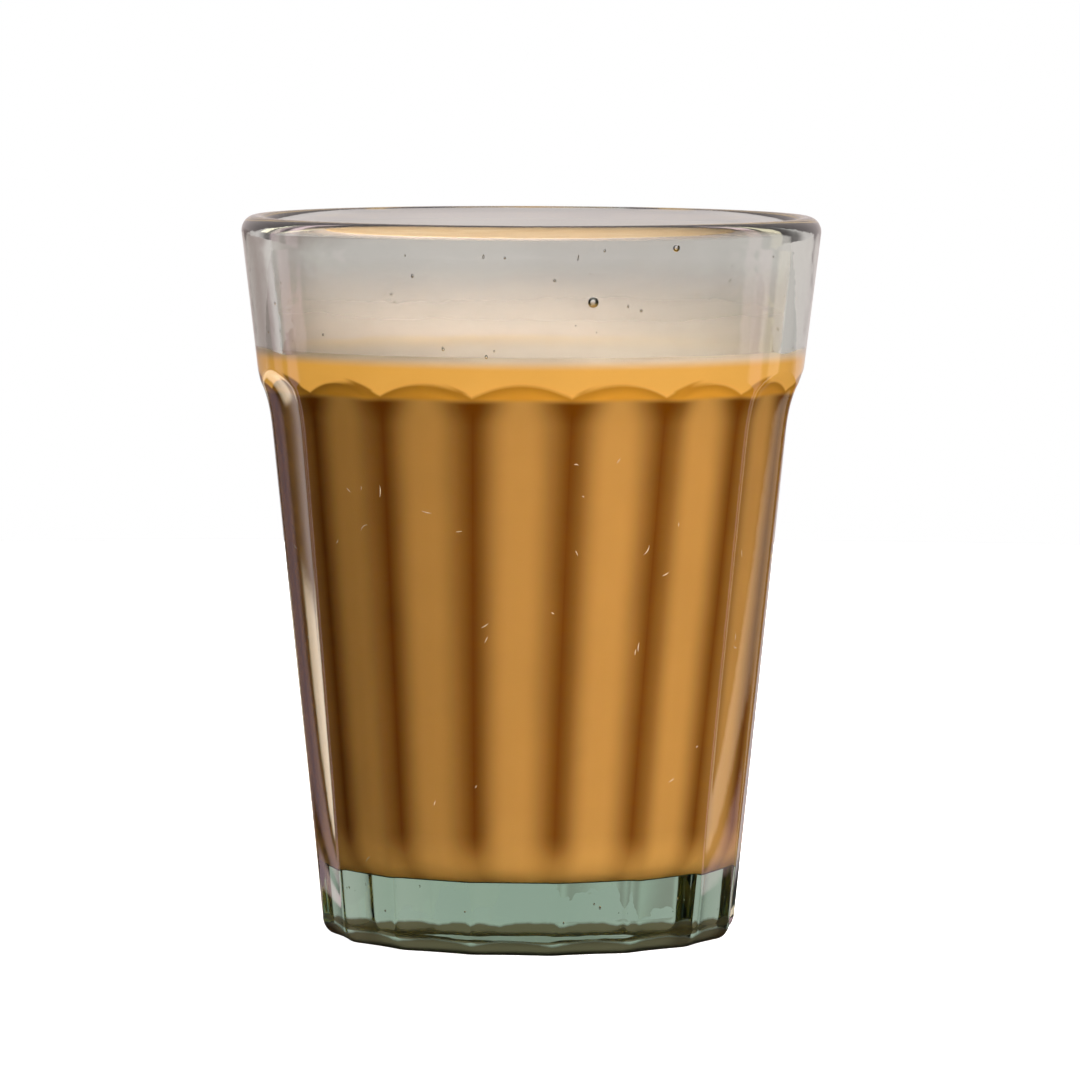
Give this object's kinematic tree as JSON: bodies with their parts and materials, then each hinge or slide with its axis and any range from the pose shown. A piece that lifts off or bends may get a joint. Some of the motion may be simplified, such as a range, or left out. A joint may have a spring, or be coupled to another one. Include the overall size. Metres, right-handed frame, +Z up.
{
  "type": "masala chai",
  "caption": "Milky spiced tea in a tapered, fluted glass tumbler with a plain band under its round rim and a thick greenish base.",
  "frame": {"origin": "centre of the foot, on the surface that the tumbler stands on", "axes": "+Z up along the tumbler's axis; the middle of one flute faces -Y"},
  "size_m": [0.0684, 0.0684, 0.085],
  "materials": {
    "glass": "pressed clear soda-lime glass with a green tint where it is thick",
    "chai": "opaque milky tea, smooth and wet on top"
  },
  "bodies": {
    "root": {"glass_tumbler": "glass", "masala_chai": "chai"}
  },
  "joints": []
}
